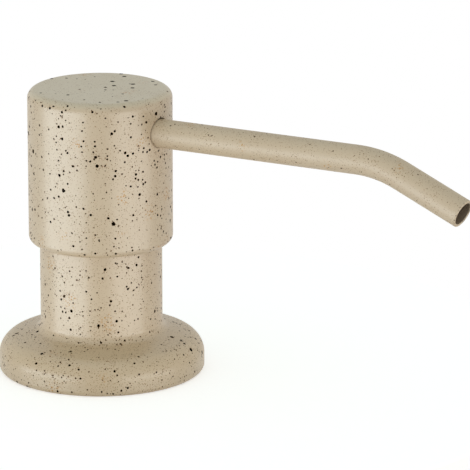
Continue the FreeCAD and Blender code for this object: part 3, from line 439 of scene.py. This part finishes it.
def speckledEnamel(name, values):
    # Baked enamel on metal, sand coloured with dark specks thrown into it: satin, slightly uneven like
    # orange peel, the specks of many sizes and gathered in loose patches
    material, tree, place = newMaterial(name)
    level = addNode(tree, "ShaderNodeSeparateXYZ", None, {0: place}).outputs["Z"]
    low, high = values["topEdge"]
    onTop = addNode(tree, "ShaderNodeMapRange", {"interpolation_type": "SMOOTHSTEP"}, {
        "Value": level, "From Min": low * mm, "From Max": high * mm}).outputs[0]
    low, high = values["footEdge"]
    atFoot = addNode(tree, "ShaderNodeMapRange", {"interpolation_type": "SMOOTHSTEP"}, {
        "Value": level, "From Min": low * mm, "From Max": high * mm, "To Min": 1.0, "To Max": 0.0}).outputs[0]

    drift = addNode(tree, "ShaderNodeTexNoise", None, {
        "Vector": place, "Scale": 1 / (values["driftMm"] * mm), "Detail": 3.0}).outputs[0]
    side, top, foot = (addNode(tree, "ShaderNodeMix", {"data_type": "RGBA"}, {
        0: drift, 6: linear(first), 7: linear(second)}).outputs[2]
        for first, second in (values["sand"], values["topSandPaintedSheen"], values["footSandPaintedShade"]))
    # the head's top takes its painted sheen tone
    colour = addNode(tree, "ShaderNodeMix", {"data_type": "RGBA"}, {0: onTop, 6: side, 7: top}).outputs[2]
    # the flange takes its painted shade tone
    colour = addNode(tree, "ShaderNodeMix", {"data_type": "RGBA"}, {0: atFoot, 6: colour, 7: foot}).outputs[2]

    ragged = addNode(tree, "ShaderNodeTexNoise", None, {
        "Vector": place, "Scale": 1 / (values["raggedMm"] * mm), "Detail": 1.0}).outputs[1]
    sway = addNode(tree, "ShaderNodeVectorMath", {"operation": "SUBTRACT"}, {
        0: ragged, 1: (0.5, 0.5, 0.5)}).outputs[0]
    sway = addNode(tree, "ShaderNodeVectorMath", {"operation": "SCALE"}, {
        0: sway, "Scale": 2 * values["raggedReachMm"] * mm}).outputs[0]
    swayed = addNode(tree, "ShaderNodeVectorMath", {"operation": "ADD"}, {0: place, 1: sway}).outputs[0]
    crowd = addNode(tree, "ShaderNodeTexNoise", None, {
        "Vector": place, "Scale": 1 / (values["crowdMm"] * mm), "Detail": 2.0}).outputs[0]
    colour = rustClouds(tree, values["rust"], place, swayed, colour)
    colour, covered = thrownSpecks(tree, values, swayed, crowd, onTop, atFoot, colour)
    if "mouth" in values:
        colour = bareMouthWithBoreShade(tree, values["mouth"], place, colour)

    peel = addNode(tree, "ShaderNodeTexNoise", None, {
        "Vector": place, "Scale": 1 / (values["orangePeelMm"] * mm), "Detail": 2.0}).outputs[0]
    low, high = values["roughness"]
    roughness = addNode(tree, "ShaderNodeMapRange", None, {
        "Value": peel, "From Min": noiseReach[0], "From Max": noiseReach[1],
        "To Min": low, "To Max": high}).outputs[0]
    roughness = addNode(tree, "ShaderNodeMath", {"operation": "MULTIPLY_ADD"}, {
        0: covered, 1: values["speckRoughness"], 2: roughness}).outputs[0]
    height = addNode(tree, "ShaderNodeMath", {"operation": "MULTIPLY_ADD"}, {
        0: covered, 1: values["speckHeight"], 2: peel}).outputs[0]
    relief = addNode(tree, "ShaderNodeBump", None, {
        "Height": height, "Strength": 1.0, "Distance": values["orangePeelHeightMm"] * mm}).outputs[0]
    full = values["specularLevel"]
    gloss = addNode(tree, "ShaderNodeMapRange", None, {
        "Value": covered, "To Min": full, "To Max": full * values["speckShine"]}).outputs[0]
    finishMaterial(tree, {"Base Color": colour, "Roughness": roughness, "Normal": relief,
                          "Specular IOR Level": gloss})
    return material


spoutCoat = {
    "roughness": (0.46, 0.54),
    "speckShares": (1.0, 0.8, 0.7, 0.06),  # of the head's specks, from fine to coarse; it has none of the largest
    "mouth": {
        "centre": (111.14, 0.0, 59.31),    # lengths in millimetres
        "drop": 21.9,                      # degrees that the last run points down
        "bore": 3.02,
        "boreEdge": (0.02, 0.12),          # past the bore, where bare metal goes over into coating
        "depth": 14.0,                     # how far in the tube is seen
        "rim": (-0.5, -0.15),              # along the tube, where the chips begin and where they are all there
        "chipMm": 0.7,
        "chipEdge": (0.54, 0.62),          # from whole to chipped, in the noise that places the chips
        # bare metal of the chips and the bore, dark enough to stand for painted shade inside the bore
        "colour": "#8A7862",
    },
}
spoutEnamel = dict(enamel, roughness=spoutCoat["roughness"], mouth=spoutCoat["mouth"])
spoutEnamel["specks"] = [dict(speck, share=speck["share"] * factor)
                         for speck, factor in zip(enamel["specks"], spoutCoat["speckShares"])]

dress(speckledEnamel("speckledSandEnamelBaked", enamel), "head_shell", "base_collar")
dress(speckledEnamel("speckledSandEnamelBakedThin", spoutEnamel), "spout_tube")
print("enamel: head, collar and spout")


# Plastics, rubber and steel

underRadius = (1.0, 1.0, 0.9)  # light goes a little less deep into plastic in blue

plastics = {
    # tones are the ends of a faint drift; under is the share of light that goes into the plastic, underMm how far;
    # the grain is coarser than a real tool's, so that it shows
    "mouldedWhiteAcetal": {         # smooth and a little waxy
        "tones": ("#E9E7DF", "#F1F0EA"), "driftMm": 9.0, "roughness": (0.32, 0.42), "ior": 1.5,
        "grainMm": 0.6, "grainHeightMm": 0.004, "under": 0.08, "underMm": 1.0},
    "mouldedSoftPolyethylene": {    # cloudy, with a dull sheen
        "tones": ("#DDE3E4", "#E8ECEC"), "driftMm": 6.0, "roughness": (0.4, 0.5), "ior": 1.5,
        "grainMm": 0.5, "grainHeightMm": 0.003, "under": 0.25, "underMm": 1.5},
    "extrudedPolyethyleneTube": {   # milky, light goes far into it
        "tones": ("#DFE5E5", "#EBEFEE"), "driftMm": 12.0, "roughness": (0.3, 0.4), "ior": 1.5,
        "grainMm": 0.8, "grainHeightMm": 0.003, "under": 0.4, "underMm": 2.0},
    "mouldedBlackPolypropylene": {  # soft black, with a grained skin
        "tones": ("#1B1B1C", "#252527"), "driftMm": 7.0, "roughness": (0.42, 0.56), "ior": 1.5,
        "grainMm": 0.35, "grainHeightMm": 0.012, "under": 0.0, "underMm": 0.5},
    "mouldedNitrileRubber": {       # dull black, a little uneven
        "tones": ("#141414", "#232322"), "driftMm": 4.0, "roughness": (0.55, 0.7), "ior": 1.5,
        "grainMm": 0.4, "grainHeightMm": 0.006, "under": 0.0, "underMm": 0.5},
}


def tonesAndRoughness(tree, values, drift, grain):
    # two tones that drift into each other, and a roughness that goes with the grain
    first, second = (linear(tone) for tone in values["tones"])
    colour = addNode(tree, "ShaderNodeMix", {"data_type": "RGBA"}, {0: drift, 6: first, 7: second}).outputs[2]
    low, high = values["roughness"]
    roughness = addNode(tree, "ShaderNodeMapRange", None, {
        "Value": grain, "From Min": noiseReach[0], "From Max": noiseReach[1],
        "To Min": low, "To Max": high}).outputs[0]
    return colour, roughness


def mouldedPlastic(name, values):
    # Moulded or extruded: even colour with a faint drift from the flow of the melt, fine grain of the tool's skin
    material, tree, place = newMaterial(name)
    drift, grain = (addNode(tree, "ShaderNodeTexNoise", None, {
        "Vector": place, "Scale": 1 / (values[size] * mm), "Detail": 3.0}).outputs[0]
        for size in ("driftMm", "grainMm"))
    colour, roughness = tonesAndRoughness(tree, values, drift, grain)
    relief = addNode(tree, "ShaderNodeBump", None, {
        "Height": grain, "Strength": 1.0, "Distance": values["grainHeightMm"] * mm}).outputs[0]
    finishMaterial(tree, {"Base Color": colour, "Roughness": roughness, "Normal": relief, "IOR": values["ior"],
                          "Subsurface Weight": values["under"], "Subsurface Scale": values["underMm"] * mm,
                          "Subsurface Radius": underRadius})
    return material


moulded = {name: mouldedPlastic(name, values) for name, values in plastics.items()}
dress(moulded["mouldedWhiteAcetal"], "head_core", "closure_cap", "stem_guide", "piston_stem", "outlet_seat",
      "ball_cage", "pump_cylinder")
dress(moulded["mouldedSoftPolyethylene"], "piston_seal")
dress(moulded["extrudedPolyethyleneTube"], "dip_tube")
dress(moulded["mouldedBlackPolypropylene"], "shank", "clamp_washer", "mounting_nut")
dress(moulded["mouldedNitrileRubber"], "spout_o_ring", "swivel_o_ring", "stem_seal", "pump_gasket", "deck_gasket",
      "bottle_gasket")

bottleSkin = {
    "tones": ("#EDE7DC", "#F7F4EC"),
    "thicknessMm": 22.0,      # the wall is thicker and thinner in wide patches
    "roughness": (0.34, 0.46),
    "ior": 1.52,
    "grainMm": 0.9,
    "grainHeightMm": 0.01,
    "seamWidthMm": 0.5,       # parting line of the two mould halves
    "seamHeightMm": 0.15,
    "under": 0.5,
    "underMm": 6.0,
}


def blownBottle(values):
    # Natural high-density polyethylene, blow-moulded: milky, waxy sheen, a parting line down both sides
    material, tree, place = newMaterial("blowMouldedPolyethylene")
    wall = addNode(tree, "ShaderNodeTexNoise", None, {
        "Vector": place, "Scale": 1 / (values["thicknessMm"] * mm), "Detail": 2.0}).outputs[0]
    grain = addNode(tree, "ShaderNodeTexNoise", None, {
        "Vector": place, "Scale": 1 / (values["grainMm"] * mm), "Detail": 3.0}).outputs[0]
    colour, roughness = tonesAndRoughness(tree, values, wall, grain)
    across = addNode(tree, "ShaderNodeSeparateXYZ", None, {0: place}).outputs["Y"]
    across = addNode(tree, "ShaderNodeMath", {"operation": "ABSOLUTE"}, {0: across}).outputs[0]
    seam = addNode(tree, "ShaderNodeMapRange", {"interpolation_type": "SMOOTHSTEP"}, {
        "Value": across, "From Min": 0.0, "From Max": values["seamWidthMm"] * mm,
        "To Min": values["seamHeightMm"] / values["grainHeightMm"], "To Max": 0.0}).outputs[0]
    height = addNode(tree, "ShaderNodeMath", {"operation": "ADD"}, {0: seam, 1: grain}).outputs[0]
    relief = addNode(tree, "ShaderNodeBump", None, {
        "Height": height, "Strength": 1.0, "Distance": values["grainHeightMm"] * mm}).outputs[0]
    finishMaterial(tree, {"Base Color": colour, "Roughness": roughness, "Normal": relief, "IOR": values["ior"],
                          "Subsurface Weight": values["under"], "Subsurface Scale": values["underMm"] * mm,
                          "Subsurface Radius": underRadius})
    return material


dress(blownBottle(bottleSkin), "bottle")

steels = {
    # the marks are coarser than real ones, so that they show
    "groundStainlessSteel": {"tones": ("#C4C3BF", "#D2D1CD"), "roughness": (0.08, 0.16), "markMm": 0.3},
    "drawnStainlessWire": {"tones": ("#A9A8A4", "#BFBEBA"), "roughness": (0.22, 0.36), "markMm": 0.25},
}


def barSteel(name, values):
    # Stainless steel, ground or drawn: bright metal with very fine uneven marks
    material, tree, place = newMaterial(name)
    marks = addNode(tree, "ShaderNodeTexNoise", None, {
        "Vector": place, "Scale": 1 / (values["markMm"] * mm), "Detail": 4.0}).outputs[0]
    colour, roughness = tonesAndRoughness(tree, values, marks, marks)
    finishMaterial(tree, {"Base Color": colour, "Roughness": roughness, "Metallic": 1.0})
    return material


dress(barSteel("groundStainlessSteel", steels["groundStainlessSteel"]), "inlet_ball", "outlet_ball")
print("materials: plastics, rubber, bottle and steel")


# Return spring, wound from wire

winding = {
    "Wire Diameter": 1.0 * mm,
    "Mean Radius": 6.0 * mm,
    "Rest Length": 24.0 * mm,
    "Turns": 7.0,
    "End Pitch": 1.5 * mm,
    "Foot Height": -8.6 * mm,
    "Steps per Turn": 48,
    "Wire Sides": 12,
}


def springTree():
    tree = bpy.data.node_groups.new("springWinding", "GeometryNodeTree")
    for name, value in winding.items():
        kind = "NodeSocketInt" if isinstance(value, int) else "NodeSocketFloat"
        tree.interface.new_socket(name, in_out="INPUT", socket_type=kind)
    tree.interface.new_socket("Wire Material", in_out="INPUT", socket_type="NodeSocketMaterial")
    tree.interface.new_socket("Spring", in_out="OUTPUT", socket_type="NodeSocketGeometry")
    given = addNode(tree, "NodeGroupInput").outputs
    known = {name: given[name] for name in winding}
    known["factor"] = addNode(tree, "GeometryNodeSplineParameter").outputs["Factor"]
    # each row names a result, what is done and its terms, which are inputs, earlier results or numbers
    steps = (
        ("pointCount", "MULTIPLY_ADD", "Turns", "Steps per Turn", 1.0),
        ("turn", "MULTIPLY", "factor", "Turns"),
        ("angle", "MULTIPLY", "turn", 2 * math.pi),
        ("cosine", "COSINE", "angle"),
        ("sine", "SINE", "angle"),
        ("x", "MULTIPLY", "cosine", "Mean Radius"),
        ("y", "MULTIPLY", "sine", "Mean Radius"),
        ("wireRadius", "MULTIPLY", "Wire Diameter", 0.5),
        # close turns at both ends, wide ones between
        ("climb", "SUBTRACT", "Rest Length", "Wire Diameter"),
        ("endClimb", "MULTIPLY", "End Pitch", 2.0),
        ("openClimb", "SUBTRACT", "climb", "endClimb"),
        ("openTurns", "SUBTRACT", "Turns", 2.0),
        ("openPitch", "DIVIDE", "openClimb", "openTurns"),
        ("footTurn", "MINIMUM", "turn", 1.0),
        ("footLevel", "MULTIPLY", "footTurn", "End Pitch"),
        ("pastFoot", "SUBTRACT", "turn", 1.0),
        ("openTurn", "MAXIMUM", "pastFoot", 0.0),
        ("openTurn", "MINIMUM", "openTurn", "openTurns"),
        ("openLevel", "MULTIPLY", "openTurn", "openPitch"),
        ("lastTurn", "SUBTRACT", "Turns", 1.0),
        ("pastOpen", "SUBTRACT", "turn", "lastTurn"),
        ("headTurn", "MAXIMUM", "pastOpen", 0.0),
        ("headLevel", "MULTIPLY", "headTurn", "End Pitch"),
        ("level", "ADD", "footLevel", "openLevel"),
        ("level", "ADD", "level", "headLevel"),
        ("start", "ADD", "Foot Height", "wireRadius"),
        ("z", "ADD", "level", "start"),
    )
    for result, operation, *terms in steps:
        known[result] = addNode(tree, "ShaderNodeMath", {"operation": operation}, {
            index: known.get(term, term) for index, term in enumerate(terms)}).outputs[0]
    line = addNode(tree, "GeometryNodeCurvePrimitiveLine").outputs[0]
    path = addNode(tree, "GeometryNodeResampleCurve", None, {
        "Curve": line, "Count": known["pointCount"]}).outputs[0]
    place = addNode(tree, "ShaderNodeCombineXYZ", None, {
        0: known["x"], 1: known["y"], 2: known["z"]}).outputs[0]
    coil = addNode(tree, "GeometryNodeSetPosition", None, {"Geometry": path, "Position": place}).outputs[0]
    section = addNode(tree, "GeometryNodeCurvePrimitiveCircle", None, {
        "Resolution": given["Wire Sides"], "Radius": known["wireRadius"]}).outputs[0]
    wire = addNode(tree, "GeometryNodeCurveToMesh", None, {
        "Curve": coil, "Profile Curve": section, "Fill Caps": True}).outputs[0]
    wire = addNode(tree, "GeometryNodeSetShadeSmooth", None, {"Geometry": wire}).outputs[0]
    wire = addNode(tree, "GeometryNodeRealizeInstances", None, {"Geometry": wire}).outputs[0]
    wire = addNode(tree, "GeometryNodeSetMaterial", None, {
        "Geometry": wire, "Material": given["Wire Material"]}).outputs[0]
    addNode(tree, "NodeGroupOutput", None, {0: wire})
    return tree


def windSpring():
    holder = bpy.data.objects.new("springHolder", bpy.data.meshes.new("springHolder"))
    scene.collection.objects.link(holder)
    modifier = holder.modifiers.new("winding", "NODES")
    modifier.node_group = springTree()
    steel = barSteel("drawnStainlessWire", steels["drawnStainlessWire"])
    for socket in modifier.node_group.interface.items_tree:
        if socket.in_out == "INPUT":
            modifier[socket.identifier] = winding.get(socket.name, steel)
    mesh = bpy.data.meshes.new_from_object(holder.evaluated_get(bpy.context.evaluated_depsgraph_get()))
    bpy.data.objects.remove(holder)
    mesh.name = "returnSpringWound"
    piece = bpy.data.objects.new("returnSpringWound", mesh)
    scene.collection.objects.link(piece)
    return piece


spring = windSpring()
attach(spring, "base")
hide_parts("return_spring")
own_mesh(spring)
print("spring:", len(spring.data.polygons), "faces")

scene.view_settings.view_transform = "Standard"
print("done")
